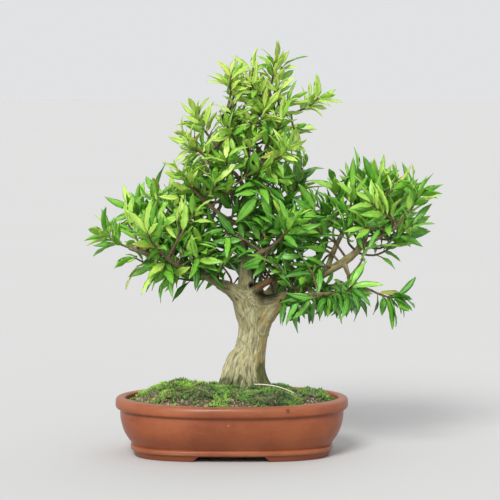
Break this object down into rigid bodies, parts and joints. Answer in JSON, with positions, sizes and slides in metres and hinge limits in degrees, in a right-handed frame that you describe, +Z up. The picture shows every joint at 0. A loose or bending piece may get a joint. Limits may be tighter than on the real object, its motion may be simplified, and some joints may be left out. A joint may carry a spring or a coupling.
{
  "type": "pomegranate bonsai in pot",
  "caption": "Small pomegranate tree with a fluted trunk, spreading branches and glossy lance-shaped leaves, in an oval red-brown clay pot with soil and moss.",
  "frame": {"origin": "on the surface the pot stands on, under the middle of the whole object's box", "axes": "+Z up along the trunk; +X along the pot's length, to the right of a viewer; the viewer looks along +Y"},
  "size_m": [0.406, 0.2248, 0.4753],
  "materials": {
    "clay": "unglazed red-brown clay, satin, with a faint speckle",
    "soil": "dark grainy bonsai soil, matt",
    "moss": "living moss, matt and tufted",
    "drain_mesh": "black plastic mesh",
    "dry_grass": "dry pale grass blade",
    "bark": "grey-tan fluted bark with ochre patches",
    "leafy_shoot": "glossy living leaves on thin reddish-brown twigs"
  },
  "bodies": {
    "root": {"pot": "clay", "drain_mesh_left": "drain_mesh", "drain_mesh_right": "drain_mesh", "soil": "soil", "moss_left": "moss", "moss_front_left": "moss", "moss_front_right": "moss", "moss_right": "moss", "moss_back": "moss", "dry_blade": "dry_grass", "trunk_and_branches": "bark", "shoot_upper_left_tip": "leafy_shoot", "shoot_apex_tip": "leafy_shoot", "shoot_apex_left_tip": "leafy_shoot", "shoot_apex_right_tip": "leafy_shoot", "shoot_upper_right_tip": "leafy_shoot", "shoot_upper_back_tip": "leafy_shoot", "shoot_left_tip": "leafy_shoot", "shoot_left_up_tip": "leafy_shoot", "shoot_left_front_tip": "leafy_shoot", "shoot_left_back_tip": "leafy_shoot", "shoot_mid_left_tip": "leafy_shoot", "shoot_right_tip": "leafy_shoot", "shoot_right_mid_tip": "leafy_shoot", "shoot_right_twig_tip": "leafy_shoot", "shoot_right_out_tip": "leafy_shoot", "shoot_right_back_tip": "leafy_shoot", "shoot_centre_back_tip": "leafy_shoot", "shoot_centre_right_tip": "leafy_shoot", "shoot_centre_front_tip": "leafy_shoot", "shoot_front_low_tip": "leafy_shoot", "shoot_apex_1": "leafy_shoot", "shoot_apex_2": "leafy_shoot", "shoot_apex_3": "leafy_shoot", "shoot_upper_left_1": "leafy_shoot", "shoot_upper_1": "leafy_shoot", "shoot_upper_2": "leafy_shoot", "shoot_upper_3": "leafy_shoot", "shoot_upper_4": "leafy_shoot", "shoot_shoulder_1": "leafy_shoot", "shoot_shoulder_2": "leafy_shoot", "shoot_left_top_1": "leafy_shoot", "shoot_left_top_2": "leafy_shoot", "shoot_left_1": "leafy_shoot", "shoot_left_2": "leafy_shoot", "shoot_left_3": "leafy_shoot", "shoot_left_4": "leafy_shoot", "shoot_left_low_1": "leafy_shoot", "shoot_left_low_2": "leafy_shoot", "shoot_centre_1": "leafy_shoot", "shoot_centre_3": "leafy_shoot", "shoot_centre_low_1": "leafy_shoot", "shoot_centre_low_2": "leafy_shoot", "shoot_right_top_1": "leafy_shoot", "shoot_right_top_2": "leafy_shoot", "shoot_right_1": "leafy_shoot", "shoot_right_2": "leafy_shoot", "shoot_right_3": "leafy_shoot", "shoot_low_2": "leafy_shoot"}
  },
  "joints": []
}
